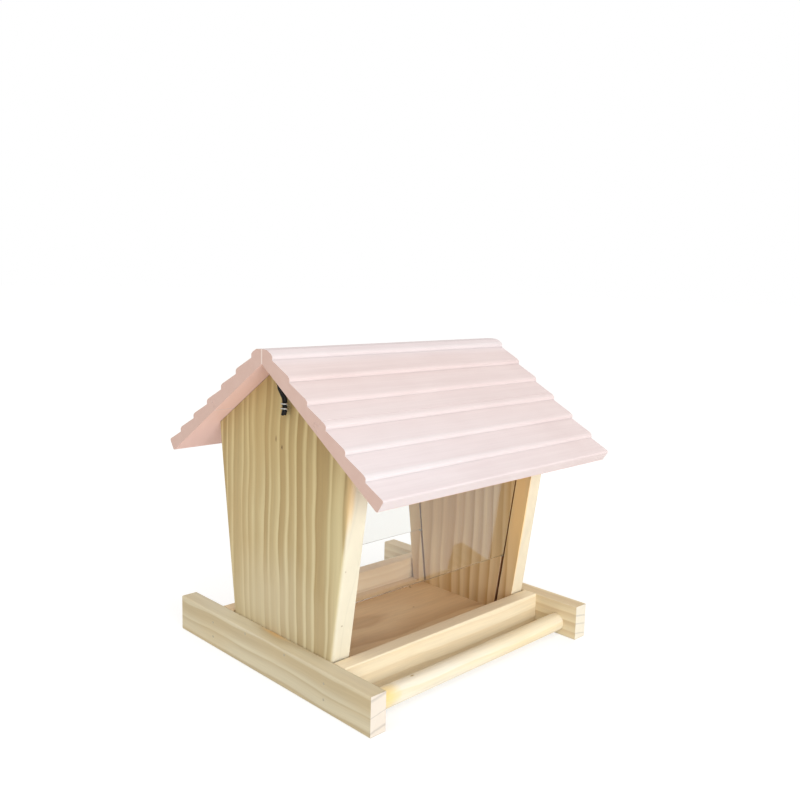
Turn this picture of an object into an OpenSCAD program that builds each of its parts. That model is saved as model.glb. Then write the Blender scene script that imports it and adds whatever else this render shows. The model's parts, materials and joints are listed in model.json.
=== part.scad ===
// Hanging hopper feeder for garden birds: an open tray with two perches, two tapered gables
// that hold a pair of clear panes in saw kerfs, and a clapboard roof that slides up its cord.
// X runs along the ridge, the front is at -Y, and the tray stands on z = 0.

/* [Tray] */
// Distance between the inner faces of the two side rails
tray_l = 177; // [140:1:260]
// Distance between the inner faces of the front and back lips
tray_w = 102; // [96:1:112]
// Thickness of the floor board
floor_t = 8; // [6:0.5:12]
// Thickness of the front and back lips
lip_t = 10.5; // [8:0.5:14]
// Height of the rails and lips
rail_h = 23.5; // [20:0.5:32]
// Thickness of the side rails
rail_t = 11.5; // [9:0.5:16]
// Length of each rail beyond the middle of its perch
rail_end = 15.8; // [10:0.2:30]
// Easing of the long edges of the tray boards
edge_ease = 0.6; // [0.2:0.1:1.2]

/* [Perches] */
// Diameter of the perch dowels
perch_d = 12; // [8:0.5:14]
// Distance from the outer face of a lip to the middle of its perch
perch_out = 17.5; // [14:0.5:40]
// Height of the perch axis
perch_z = 8.5; // [8:0.5:12]
// Depth of the blind sockets in the rails
socket_depth = 6; // [3:0.5:8]

/* [Gables] */
// Thickness of the gable boards
gable_t = 13; // [9:0.5:16]
// Width of a gable at its foot
gable_foot_w = 94.8; // [88:0.2:95]
// Outward lean of the gable edges and of the panes
gable_lean = 8; // [4:0.5:10]

/* [Windows] */
// Thickness of the clear panes
pane_t = 1.5; // [1:0.1:1.8]
// Width of the saw kerfs that hold the panes
kerf_w = 2; // [1.9:0.1:3]
// Depth of the kerfs
kerf_depth = 4; // [3:0.5:6]
// Distance from the gable edge to the middle of a kerf
kerf_inset = 12.5; // [10:0.5:16]
// Height of the lower edge of a pane
pane_foot_z = 49.5; // [40:0.5:60]
// Room left above a pane, below the roof
pane_head_room = 1.5; // [0.5:0.5:6]

/* [Roof] */
// Height of the roof underside at the ridge
apex_z = 190; // [180:1:215]
// Slope of the roof
roof_pitch = 33.8; // [30:0.2:36]
// Overhang of the roof beyond the outer faces of the side rails
roof_overhang = 2.5; // [0.5:0.5:20]
// Length of a panel down the slope, on its underside
panel_l = 119.2; // [110:0.2:130]
// Thickness of a panel at the tip of its first course
course_tip_t = 10.3; // [9:0.1:12]
// Loss of that thickness from each course to the next
course_taper = 0.3; // [0:0.05:0.4]
// Height of the step under each course
course_step = 2.3; // [1:0.1:3.2]
// Distance from one course to the next
course_pitch = 19.4; // [15:0.2:24]
// Distance from the ridge to the first course tip
first_tip = 6.1; // [4.8:0.1:8]
// Length of the rounded nose above each tip
nose_run = 2.6; // [1:0.1:3.4]
// Fall of the rounded nose towards the tip
nose_drop = 1; // [0.3:0.1:1.4]
// Distance by which the foot of each step runs out below the tip
step_slant = 0.8; // [0.2:0.1:1.2]
// Half the width of the planed flat along the ridge
ridge_flat = 5.2; // [3:0.1:6]
// Distance from the fourth course tip up to the joint of the two boards of a panel
joint_up = 4.7; // [4.2:0.1:8]
// Thickness of the tongue in that joint
tongue_t = 2.6; // [2:0.1:3]
// Length of the tongue
tongue_l = 4; // [2:0.5:6]

/* [Cord] */
// Diameter of the cord
cord_d = 1.8; // [1.6:0.1:2]
// Distance of the cord holes in the gables below the underside of the ridge
cord_hole_drop = 12; // [9:0.5:20]
// Diameter of the cord holes through the gables
cord_hole_d = 3; // [2.5:0.1:4]
// Distance of the holes under the ridge beyond the outer faces of the gables
ridge_hole_out = 4.5; // [3:0.5:6]
// Diameter of the holes under the ridge
ridge_hole_d = 3.6; // [3.2:0.1:4]
// Lean of those holes from the vertical, up and back under the first course
ridge_hole_lean = 62; // [60:0.5:64]
// Thickness of the wire of the two bands
band_wire = 0.9; // [0.6:0.1:1.2]
// Height of the upper band
upper_band_z = 167; // [166.8:0.1:167.6]
// Height of the lower band
lower_band_z = 164.2; // [163.9:0.1:164.3]

/* [Fixings] */
// Diameter of the brads
brad_d = 1.2; // [1:0.1:1.5]
// Diameter of the brad heads
brad_head_d = 1.6; // [1.5:0.1:2.4]
// Length of the brads through the rails and the floor
brad_l = 22; // [19:1:28]
// Length of the brads across the ridge
ridge_brad_l = 14; // [10:1:16]
// Length of the brads that the panes stand on
stop_l = 11; // [9:0.5:13]
// Length of those brads that stands out of the gable
stop_proud = 2; // [1:0.5:3]
// Distance of the outer ridge brads from the ends of the roof
ridge_brad_inset = 22.5; // [16:0.5:40]

/* [Fits] */
// Clearance between the roof and what it rests on
seat_gap = 0.3; // [0.2:0.05:0.5]
// Clearance of a dowel in its socket
socket_gap = 0.3; // [0.1:0.05:0.6]
// Clearance of a pane at the bottom of its kerfs
pane_gap = 0.4; // [0.2:0.1:0.8]
// Clearance between the two boards of a panel, and round their tongue
joint_gap = 0.1; // [0.05:0.05:0.2]
// Clearance of a brad in its hole
brad_gap = 0.05; // [0.02:0.01:0.1]

/* [Hidden] */
$fn = 48;

// Small overlap that makes a cut pass right through a face
cut = 1;
brad_fn = 16;
brad_head_t = 0.8;
ridge_brad_rise = 0.4;

// Tray
rail_in_x = tray_l / 2;
lip_in_y = tray_w / 2;
lip_mid_y = lip_in_y + lip_t / 2;
perch_y = lip_in_y + lip_t + perch_out;
rail_l = 2 * (perch_y + rail_end);

// Gables and kerfs
gable_in_x = rail_in_x - gable_t;
gable_foot_y = gable_foot_w / 2;
roof_drop = tan(roof_pitch);
lean_run = tan(gable_lean);
gable_apex_z = apex_z - seat_gap / cos(roof_pitch);
eave_y = (gable_foot_y + lean_run * (gable_apex_z - floor_t)) / (1 + lean_run * roof_drop);
eave_z = gable_apex_z - roof_drop * eave_y;
kerf_foot_y = gable_foot_y - kerf_inset / cos(gable_lean);
cord_hole_z = apex_z - cord_hole_drop;

// Panes: measured along the lean from the floor. The outer edge of a pane meets the roof first,
// so the whole thickness of the pane is taken off its height as well as the room above it
pane_foot_up = (pane_foot_z - floor_t) / cos(gable_lean);
pane_head_up =
    (apex_z - roof_drop * kerf_foot_y - floor_t) / (cos(gable_lean) + roof_drop * sin(gable_lean));
pane_h = pane_head_up - pane_foot_up - pane_head_room - pane_t;
pane_w = 2 * (gable_in_x + kerf_depth - pane_gap);
stop_up = pane_foot_up - brad_d / 2 - brad_gap;
stop_end_x = gable_in_x + stop_l - stop_proud;

// Roof courses, counted down the slope
roof_l = 2 * (rail_in_x + rail_t + roof_overhang);
ridge_hole_x = rail_in_x + ridge_hole_out;
ridge_hole_foot = [0.6, apex_z - 3.4];
ridge_hole_l = 1.5 * course_tip_t;
course_count = floor((panel_l - first_tip) / course_pitch) + 1;
upper_count = 3;
nose_cuts = 4;
function tip_s(i) = first_tip + i * course_pitch;
function tip_t(i) = course_tip_t - i * course_taper;
function root_s(i) = tip_s(i) + step_slant;
function root_t(i) = tip_t(i) - course_step;
function course_t(s) =
    let (
        i = floor((s - first_tip) / course_pitch),
        part = (s - root_s(i)) / (course_pitch - step_slant - nose_run)
    )
    root_t(i) + (tip_t(i + 1) - root_t(i)) * max(0, min(1, part));
joint_s = tip_s(upper_count) - joint_up;
tongue_h = (root_t(upper_count) - tongue_t) / 2;
ridge_brad_x = roof_l / 2 - ridge_brad_inset;
ridge_brad_z = apex_z + brad_head_d / 2 + ridge_brad_rise;

// Brad places: two across each rail into each lip and two into the gable, and two up through
// the floor into the foot of each gable
lip_brad_edge = 7;
gable_brad_y = 20;
gable_brad_z = rail_h - 2.8;
foot_brad_y = 26;

// Places on the roof: s down the slope from the apex, h square to it, in [y, z] on the back side
function on_slope(s, h) = [
    s * cos(roof_pitch) + h * sin(roof_pitch),
    apex_z - s * sin(roof_pitch) + h * cos(roof_pitch)
];

// The planed ridge carries the first course face up to the flat, which is crowned a little
ridge_crown = 0.3;
first_nose = on_slope(tip_s(0) - nose_run, tip_t(0));
face_tilt = roof_pitch - atan((course_step - course_taper) / (course_pitch - step_slant - nose_run));
flat_z = first_nose[1] + (first_nose[0] - ridge_flat) * tan(face_tilt);
ridge_z = flat_z + ridge_crown;

// Cord route of the free bail, out of the right gable, back through the hole under the ridge,
// over the back slope and through the other hole to its cut end by the left gable
bail_points = [
    [88.5, 0, 178], [89.2, 0, 178], [91.2, 0, 178.6], [92.6, 0, 180], [93, 0, 181.8],
    [93, 0, 184.2], [93, 0.5, 186.2], [93, 2, 187.5], [93, 4.1, 188.5], [93, 10.6, 191.9],
    [93, 12.5, 192.6], [92.8, 14.4, 192.4], [92.3, 16.3, 191.5], [89, 24, 187.6],
    [84, 38, 177.5], [79, 54, 166.4], [69, 68, 156.7],
    [53, 75, 151.8], [36, 72, 153.9], [20, 64, 159.4], [3, 62, 160.8], [-13, 69, 156],
    [-30, 77, 150.4], [-47, 77, 150.4], [-62, 68, 156.7], [-73, 54, 166.4], [-81, 38, 177.5],
    [-87, 24, 187.6], [-92.3, 16.3, 191.5], [-92.8, 14.4, 192.4], [-93, 12.5, 192.6],
    [-93, 10.6, 191.9], [-93, 4.1, 188.5], [-93, 2, 187.5], [-93, 0.5, 186.2],
    [-93, -0.2, 184.2], [-93, -0.8, 181.4], [-92.6, -3.4, 177], [-92.1, -6.8, 173],
    [-91.5, -8.4, 170], [-91.5, -8.4, 163], [-91.5, -8.1, 161.9], [-91.5, -7.6, 160.7]
];
// Cord route that the house hangs on, from the right gable through both holes to its cut end
house_points = [
    [88.5, 0, 178], [-84, 0, 178], [-88, 0, 178], [-89.8, -0.3, 177.6],
    [-91.1, -1.1, 176.6], [-91.6, -2.2, 175.1], [-91.6, -4.2, 172.7], [-91.5, -6.4, 169.2],
    [-91.5, -6.5, 166], [-91.5, -6.45, 163], [-91.45, -5.9, 161.8], [-91.3, -5.2, 160.2]
];
cord_sides = 8;
tail_x = -91.5;
tail_y = -7.45;
strand_gap = 0.1;

// Cord tube: a ring square to the route at each point, and more where the points lie far apart
ring_step = 7.9;
straight_span = tray_l / 4;
function unit(v) = v / norm(v);
function bend_point(p, i, t) =
    let (
        n = len(p) - 1,
        a = p[max(i - 1, 0)],
        b = p[i],
        c = p[min(i + 1, n)],
        d = p[min(i + 2, n)]
    )
    0.5 * (2 * b + (c - a) * t + (2 * a - 5 * b + 4 * c - d) * t * t
        + (3 * b - a - 3 * c + d) * t * t * t);
function fine_route(p) = [
    for (i = [0 : len(p) - 2])
        let (
            span = norm(p[i + 1] - p[i]),
            pieces = span < 8 || span > straight_span ? 1 : ceil(span / ring_step)
        )
        for (k = [0 : pieces - 1]) bend_point(p, i, k / pieces),
    p[len(p) - 1]
];
function heading(p, i) = unit(p[min(i + 1, len(p) - 1)] - p[max(i - 1, 0)]);
function carried(side, along) = unit(side - along * (side * along));
function ring_sides(p, i = 0, side = [0, 1, 0]) =
    let (now = carried(side, heading(p, i)))
    i == len(p) - 1 ? [now] : concat([now], ring_sides(p, i + 1, now));

function route_length(p, i = 0) =
    i == len(p) - 1 ? 0 : norm(p[i + 1] - p[i]) + route_length(p, i + 1);
echo(
    hanging_cord_mm = route_length(fine_route(bail_points)),
    house_cord_mm = route_length(fine_route(house_points)),
    cord_rings = len(fine_route(bail_points)) + len(fine_route(house_points))
);

module tube(points, d) {
    route = fine_route(points);
    sides = ring_sides(route);
    last = len(route) - 1;
    rings = [
        for (i = [0 : last])
            let (
                along = i == 0 ? unit(points[1] - points[0]) : heading(route, i),
                u = carried(sides[i], along),
                v = cross(along, u)
            )
            for (k = [0 : cord_sides - 1])
                let (turn = 360 * k / cord_sides)
                route[i] + d / 2 * (cos(turn) * u + sin(turn) * v)
    ];
    walls = [
        for (i = [0 : last - 1], k = [0 : cord_sides - 1])
            let (
                a = i * cord_sides + k,
                b = i * cord_sides + (k + 1) % cord_sides
            )
            each [
                [a, a + cord_sides, b],
                [b, a + cord_sides, b + cord_sides]
            ]
    ];
    start = [for (k = [0 : cord_sides - 1]) k];
    end = [for (k = [cord_sides - 1 : -1 : 0]) last * cord_sides + k];
    polyhedron(concat(rings), concat([start], walls, [end]), convexity = 10);
}

// A board of size [x, y, z] from its lowest corner, eased along its long edges
module eased_board(size, along_y = false) {
    e = edge_ease;
    w = along_y ? size[0] : size[1];
    l = along_y ? size[1] : size[0];
    h = size[2];
    outline = [
        [e, 0], [w - e, 0], [w, e], [w, h - e],
        [w - e, h], [e, h], [0, h - e], [0, e]
    ];
    if (along_y)
        translate([0, l, 0])
            rotate([90, 0, 0])
                linear_extrude(l)
                    polygon(outline);
    else
        rotate([90, 0, 90])
            linear_extrude(l)
                polygon(outline);
}

// A brad pointing along +Z with the top of its head at the origin
module brad(length, grow = 0) {
    cylinder(d = brad_head_d + 2 * grow, h = brad_head_t + grow, $fn = brad_fn);
    cylinder(d = brad_d + 2 * grow, h = length + grow, $fn = brad_fn);
}

// Children placed at every brad of the left rail, pointing inwards
module at_rail_brads() {
    places = concat(
        [for (y = [-lip_mid_y, lip_mid_y], z = [lip_brad_edge, rail_h - lip_brad_edge]) [y, z]],
        [for (y = [-gable_brad_y, gable_brad_y]) [y, gable_brad_z]]
    );
    for (p = places)
        translate([-rail_in_x - rail_t, p[0], p[1]])
            rotate([0, 90, 0])
                children();
}

module at_floor_brads() {
    for (x = [-1, 1], y = [-1, 1])
        translate([x * (rail_in_x - gable_t / 2), y * foot_brad_y, 0])
            children();
}

// The heads are set under the first course and filled, so nothing of them shows
module at_ridge_brads() {
    for (x = [-ridge_brad_x, 0, ridge_brad_x])
        translate([x, on_slope(root_s(0), root_t(0))[0], ridge_brad_z])
            rotate([90, 0, 0])
                children();
}

// The plane of the front pane: x along the ridge, z up the lean from the floor
module at_front_kerf() {
    translate([0, -kerf_foot_y, floor_t])
        rotate([gable_lean, 0, 0])
            children();
}

module floor_board() {
    color("#d9b27c")
        difference() {
            translate([-rail_in_x, -lip_in_y, 0])
                cube([tray_l, tray_w, floor_t]);
            at_floor_brads() brad(brad_l, brad_gap);
        }
}

module all_rail_brads(grow = 0) {
    at_rail_brads() brad(brad_l, grow);
    mirror([1, 0, 0]) at_rail_brads() brad(brad_l, grow);
}

module side_rail() {
    difference() {
        translate([-rail_in_x - rail_t, -rail_l / 2, 0])
            eased_board([rail_t, rail_l, rail_h], along_y = true);
        for (y = [-perch_y, perch_y])
            translate([-rail_in_x - socket_depth, y, perch_z])
                rotate([0, 90, 0])
                    cylinder(d = perch_d + socket_gap, h = socket_depth + cut);
        at_rail_brads() brad(brad_l, brad_gap);
    }
}

module side_rail_left() {
    color("#e3cd9f") side_rail();
}

module side_rail_right() {
    color("#e3cd9f") mirror([1, 0, 0]) side_rail();
}

module tray_lip() {
    difference() {
        translate([-rail_in_x, -lip_in_y - lip_t, 0])
            eased_board([tray_l, lip_t, rail_h]);
        all_rail_brads(brad_gap);
    }
}

module tray_lip_front() {
    color("#dcc190") tray_lip();
}

module tray_lip_back() {
    color("#dcc190") mirror([0, 1, 0]) tray_lip();
}

module gable() {
    difference() {
        translate([-rail_in_x, 0, 0])
            rotate([90, 0, 90])
                linear_extrude(gable_t)
                    polygon([
                        [-gable_foot_y, floor_t], [gable_foot_y, floor_t],
                        [eave_y, eave_z], [0, gable_apex_z], [-eave_y, eave_z]
                    ]);
        for (side = [0, 1])
            mirror([0, side, 0])
                at_front_kerf() {
                    translate([-gable_in_x - kerf_depth, -kerf_w / 2, -floor_t])
                        cube([kerf_depth + cut, kerf_w, apex_z]);
                    translate([-stop_end_x, 0, stop_up])
                        rotate([0, 90, 0])
                            cylinder(d = brad_d + 2 * brad_gap, h = stop_l, $fn = brad_fn);
                }
        translate([-rail_in_x - cut, 0, cord_hole_z])
            rotate([0, 90, 0])
                cylinder(d = cord_hole_d, h = gable_t + 2 * cut);
        at_rail_brads() brad(brad_l, brad_gap);
        at_floor_brads() brad(brad_l, brad_gap);
    }
}

module gable_left() {
    color("#d8bb86") gable();
}

module gable_right() {
    color("#d8bb86") mirror([1, 0, 0]) gable();
}

module window() {
    at_front_kerf()
        translate([-pane_w / 2, -pane_t / 2, pane_foot_up])
            cube([pane_w, pane_t, pane_h]);
}

module window_front() {
    color("#dfeaea", 0.4) window();
}

module window_back() {
    color("#dfeaea", 0.4) mirror([0, 1, 0]) window();
}

module window_stops() {
    color("#c9c4b4")
        for (x = [0, 1], y = [0, 1])
            mirror([x, 0, 0])
                mirror([0, y, 0])
                    at_front_kerf()
                        translate([-stop_end_x, 0, stop_up])
                            rotate([0, 90, 0])
                                cylinder(d = brad_d, h = stop_l, $fn = brad_fn);
}

module perch() {
    perch_l = tray_l + 2 * socket_depth - socket_gap;
    translate([-perch_l / 2, -perch_y, perch_z])
        rotate([0, 90, 0])
            cylinder(d = perch_d, h = perch_l);
}

module perch_front() {
    color("#e6c98c") perch();
}

module perch_back() {
    color("#e6c98c") mirror([0, 1, 0]) perch();
}

module rail_brads_left() {
    color("#b9b3a5") at_rail_brads() brad(brad_l);
}

module rail_brads_right() {
    color("#b9b3a5") mirror([1, 0, 0]) at_rail_brads() brad(brad_l);
}

module floor_brads() {
    color("#b9b3a5") at_floor_brads() brad(brad_l);
}

// The outline of one course from the foot of its step up over its rounded nose
function course_edge(i) = [
    on_slope(root_s(i), root_t(i)),
    for (k = [0 : nose_cuts])
        let (turn = 90 * k / nose_cuts)
        on_slope(tip_s(i) - nose_run * (1 - cos(turn)), tip_t(i) - nose_drop * (1 - sin(turn)))
];
function course_edges(from, to) = [for (i = [from : -1 : to]) each course_edge(i)];

// Cross-section of the upper back board, from the mitre at the ridge down to the grooved joint
module upper_outline() {
    s = joint_s - joint_gap;
    low = tongue_h - joint_gap;
    high = tongue_h + tongue_t + joint_gap;
    polygon(concat(
        [
            [0, apex_z], on_slope(s, 0), on_slope(s, low), on_slope(s - tongue_l, low),
            on_slope(s - tongue_l, high), on_slope(s, high), on_slope(s, course_t(s))
        ],
        course_edges(upper_count - 1, 0),
        [[ridge_flat, flat_z], [0, ridge_z]]
    ));
}

// Cross-section of the lower back board, with its tongue up the slope
module lower_outline() {
    s = joint_s;
    high = tongue_h + tongue_t;
    polygon(concat(
        [on_slope(s, 0), on_slope(panel_l, 0), on_slope(panel_l, course_t(panel_l))],
        course_edges(course_count - 1, upper_count),
        [
            on_slope(s, course_t(s)), on_slope(s, high), on_slope(s - tongue_l, high),
            on_slope(s - tongue_l, tongue_h), on_slope(s, tongue_h)
        ]
    ));
}

module roof_board() {
    translate([-roof_l / 2, 0, 0])
        rotate([90, 0, 90])
            linear_extrude(roof_l)
                children();
}

// The two cord holes, from under the ridge up through the back panel below its first nose
module ridge_holes() {
    for (x = [-ridge_hole_x, ridge_hole_x])
        translate([x, ridge_hole_foot[0], ridge_hole_foot[1]])
            rotate([-ridge_hole_lean, 0, 0])
                cylinder(d = ridge_hole_d, h = ridge_hole_l);
}

module roof_front_upper() {
    color("#eccfc9")
        difference() {
            mirror([0, 1, 0]) roof_board() upper_outline();
            at_ridge_brads() brad(ridge_brad_l, brad_gap);
        }
}

module roof_front_lower() {
    color("#eccfc9") mirror([0, 1, 0]) roof_board() lower_outline();
}

module roof_back_upper() {
    color("#eccfc9")
        difference() {
            roof_board() upper_outline();
            at_ridge_brads() brad(ridge_brad_l, brad_gap);
            ridge_holes();
        }
}

module roof_back_lower() {
    color("#eccfc9") roof_board() lower_outline();
}

module ridge_brads() {
    color("#b9b3a5") at_ridge_brads() brad(ridge_brad_l);
}

module house_cord() {
    color("#17130f") tube(house_points, cord_d);
}

module hanging_cord() {
    color("#17130f") tube(bail_points, cord_d);
}

// A flat oval ring of wire round both strands
module band(z) {
    inner_r = cord_d / 2 + strand_gap;
    outer_r = inner_r + band_wire;
    translate([tail_x, tail_y, z - band_wire])
        linear_extrude(2 * band_wire)
            difference() {
                oval(outer_r);
                oval(inner_r);
            }
}

module oval(r) {
    apart = cord_d / 2 + strand_gap / 2;
    for (y = [-apart, apart])
        translate([0, y])
            circle(r);
    translate([-r, -apart])
        square([2 * r, 2 * apart]);
}

module cord_band_upper() {
    color("#b7b7b2") band(upper_band_z);
}

module cord_band_lower() {
    color("#b7b7b2") band(lower_band_z);
}

floor_board();
side_rail_left();
side_rail_right();
tray_lip_front();
tray_lip_back();
gable_left();
gable_right();
window_front();
window_back();
window_stops();
perch_front();
perch_back();
rail_brads_left();
rail_brads_right();
floor_brads();
roof_front_upper();
roof_front_lower();
roof_back_upper();
roof_back_lower();
ridge_brads();
house_cord();
hanging_cord();
cord_band_upper();
cord_band_lower();
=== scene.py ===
import json
import math

import bmesh
import bpy
from mathutils import Matrix, Vector

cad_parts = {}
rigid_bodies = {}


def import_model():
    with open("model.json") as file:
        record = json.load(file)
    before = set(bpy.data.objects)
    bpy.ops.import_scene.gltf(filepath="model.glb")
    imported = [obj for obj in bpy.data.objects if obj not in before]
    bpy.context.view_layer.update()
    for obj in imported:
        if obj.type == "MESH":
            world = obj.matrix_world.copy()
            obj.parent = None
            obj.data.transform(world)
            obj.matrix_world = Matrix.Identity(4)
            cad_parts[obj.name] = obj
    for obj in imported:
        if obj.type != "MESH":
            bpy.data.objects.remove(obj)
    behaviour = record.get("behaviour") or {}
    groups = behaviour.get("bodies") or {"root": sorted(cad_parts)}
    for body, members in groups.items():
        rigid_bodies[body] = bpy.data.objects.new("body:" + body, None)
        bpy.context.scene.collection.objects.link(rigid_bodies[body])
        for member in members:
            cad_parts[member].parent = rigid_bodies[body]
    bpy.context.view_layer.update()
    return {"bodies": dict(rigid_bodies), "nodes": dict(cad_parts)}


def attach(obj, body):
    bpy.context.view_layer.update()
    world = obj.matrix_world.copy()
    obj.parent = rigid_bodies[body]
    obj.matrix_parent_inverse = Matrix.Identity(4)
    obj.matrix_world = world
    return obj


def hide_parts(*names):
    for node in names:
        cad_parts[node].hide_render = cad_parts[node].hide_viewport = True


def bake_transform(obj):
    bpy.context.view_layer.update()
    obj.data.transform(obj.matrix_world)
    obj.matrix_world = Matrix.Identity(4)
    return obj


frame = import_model()

MM = 0.001
SEED = 7
FULL_TURN = 2 * math.pi

# Camera: place in millimetres, azimuth, elevation and roll in degrees, focal length in pixels
CAMERA_PLACE = (-387.0, -401.3, 240.5)
CAMERA_TURN = (-44.648, 8.106, 1.5115)
FOCAL_PX = 853.75
PICTURE_PX = 800
SENSOR_WIDTH = 36

# Outer and inner faces of the gables and bottoms of their kerfs, in millimetres from the middle
GABLE_OUT_X = 88.5
GABLE_IN_X = 75.5
KERF_BOTTOM_X = 79.5

# Lean of the panes and of the gables' edges
PANE_LEAN = math.radians(8)

# Underside of the ridge, slope of the roof, and the places of its course tips down that slope
APEX_Z = 190.0
ROOF_PITCH = math.radians(33.8)
PANEL_LENGTH = 119.2
FIRST_TIP = 6.1
COURSE_PITCH = 19.4

# Only edges along the eaves stay under this height, and only rail ends reach past this depth
EAVE_TOP_Z = 132.0
RAIL_END_Y = 93.0

# The long edges of the gables and of the roof boards are longer than this
GABLE_EDGE = 80.0
ROOF_EDGE = 150.0

# Height at which the painted shade at the top of a board is nearly full, and width over which the
# roof's paler tone fades
TOP_SHADE_BY_Z = 180.0
PALER_SPAN = 200.0

# Depth of the relief in the surfaces, in millimetres, and half the width of the floor, in metres
BUMP_DEPTH = 0.2
FLOOR_REACH = 12.0

PLAIN_WHITE = (1, 1, 1, 1)


# Stage: camera, lamps, floor and world


def clear_factory_objects():
    """Removes whatever the blank file brought along beside the frame."""
    kept = set(frame["nodes"].values()) | set(frame["bodies"].values())
    for thing in [o for o in bpy.data.objects if o not in kept]:
        bpy.data.objects.remove(thing)


def add_camera():
    """A camera where the photographer stood: in front, to the left and a little above."""
    azimuth, elevation, roll = (math.radians(angle) for angle in CAMERA_TURN)
    back = Vector((
        math.sin(azimuth) * math.cos(elevation),
        -math.cos(azimuth) * math.cos(elevation),
        math.sin(elevation),
    ))
    level = Vector((0, 0, 1)).cross(back).normalized()
    upright = back.cross(level)
    right = level * math.cos(roll) + upright * math.sin(roll)
    up = upright * math.cos(roll) - level * math.sin(roll)
    data = bpy.data.cameras.new("camera")
    data.sensor_width = SENSOR_WIDTH
    data.lens = SENSOR_WIDTH * FOCAL_PX / PICTURE_PX
    data.clip_start = 0.01
    camera = bpy.data.objects.new("camera", data)
    bpy.context.scene.collection.objects.link(camera)
    turn = Matrix((right, up, back)).transposed().to_4x4()
    camera.matrix_world = Matrix.Translation(Vector(CAMERA_PLACE) * MM) @ turn
    bpy.context.scene.camera = camera


def add_lamp(name, place, size, watts, tone):
    """A round lamp that points at the middle of the feeder."""
    data = bpy.data.lights.new(name, "AREA")
    data.shape = "DISK"
    data.size = size
    data.energy = watts
    data.color = tone
    lamp = bpy.data.objects.new(name, data)
    bpy.context.scene.collection.objects.link(lamp)
    lamp.location = place
    to_middle = Vector((0, 0, 0.1)) - Vector(place)
    lamp.rotation_euler = to_middle.to_track_quat("-Z", "Y").to_euler()


def add_lamps():
    """A cool lamp in front, and a wide warm one high on the left that the eaves shade."""
    add_lamp("front", (-0.35, -1.5, 0.42), size=0.95, watts=14, tone=(0.95, 0.985, 1.0))
    add_lamp("high_left", (-1.25, -0.2, 1.3), size=1.5, watts=3.5, tone=(1.0, 0.97, 0.92))


# Wiring of node trees


def add_node(tree, kind, inputs=None, **settings):
    """Adds a node. Each input is a plain value, or the output socket that it is wired to."""
    made = tree.nodes.new(kind)
    for key, value in settings.items():
        setattr(made, key, value)
    for key, value in (inputs or {}).items():
        wire(tree, value, made.inputs[key])
    return made


def wire(tree, value, socket):
    """Gives an input socket a plain value, or wires an output socket to it."""
    if isinstance(value, bpy.types.NodeSocket):
        tree.links.new(value, socket)
    else:
        socket.default_value = value


def calc(tree, operation, first, second=0.0, third=None):
    """The output of a Math node."""
    values = {0: first, 1: second}
    if third is not None:
        values[2] = third
    return add_node(tree, "ShaderNodeMath", values, operation=operation).outputs[0]


def vector_calc(tree, operation, first, second=None, scale=None):
    """The output of a Vector Math node: a number for a length, and otherwise a vector."""
    values = {0: first}
    if second is not None:
        values[1] = second
    if scale is not None:
        values["Scale"] = scale
    made = add_node(tree, "ShaderNodeVectorMath", values, operation=operation)
    return made.outputs["Value" if operation == "LENGTH" else "Vector"]


def scaled(tree, vector, factors):
    return vector_calc(tree, "MULTIPLY", vector, factors)


def split_up(tree, vector):
    """The three parts of a vector, by their letters."""
    return add_node(tree, "ShaderNodeSeparateXYZ", {0: vector}).outputs


def joined(tree, **parts):
    """A vector of the parts that are given by their letters."""
    return add_node(tree, "ShaderNodeCombineXYZ", parts).outputs[0]


def mix_colour(tree, amount, first, second, how="MIX"):
    made = add_node(tree, "ShaderNodeMix", data_type="RGBA", blend_type=how)
    ends = {"Factor": amount, "A": first, "B": second}
    for socket in made.inputs:
        if socket.enabled and socket.name in ends:
            wire(tree, ends[socket.name], socket)
    return next(socket for socket in made.outputs if socket.enabled)


def multiplied(tree, first, second):
    """One colour times another, or times a plain value."""
    return mix_colour(tree, 1.0, first, second, "MULTIPLY")


def ramp(tree, value, stops):
    """A colour ramp of grey stops, each a position and a value."""
    made = add_node(tree, "ShaderNodeValToRGB", {"Fac": value})
    elements = made.color_ramp.elements
    while len(elements) < len(stops):
        elements.new(0.5)
    for element, (position, level) in zip(elements, stops):
        element.position = position
        element.color = (level, level, level, 1)
    return made.outputs["Color"]


def noise(tree, vector, scale, detail=2.0, rough=0.5):
    return add_node(
        tree, "ShaderNodeTexNoise",
        {"Vector": vector, "Scale": scale, "Detail": detail, "Roughness": rough},
    )


def colour(red, green, blue):
    """A colour as it shows on screen, from 0 to 255, as linear values."""
    parts = []
    for level in (red, green, blue):
        share = level / 255
        parts.append(share / 12.92 if share < 0.04045 else ((share + 0.055) / 1.055) ** 2.4)
    return (*parts, 1.0)


def dimmed(tone, share):
    """A share of a colour as it shows on screen, as linear values."""
    return colour(*[share * level for level in tone])


def new_group(name, inputs, outputs):
    """A shader node group with the named sockets, each with its type and default."""
    group = bpy.data.node_groups.new(name, "ShaderNodeTree")
    for label, kind, default in inputs:
        socket = group.interface.new_socket(label, in_out="INPUT", socket_type=kind)
        if default is not None:
            socket.default_value = default
    for label, kind in outputs:
        group.interface.new_socket(label, in_out="OUTPUT", socket_type=kind)
    entry = group.nodes.new("NodeGroupInput").outputs
    leave = group.nodes.new("NodeGroupOutput").inputs
    return group, entry, leave


FLOAT = "NodeSocketFloat"
COLOUR = "NodeSocketColor"
VECTOR = "NodeSocketVector"


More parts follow.
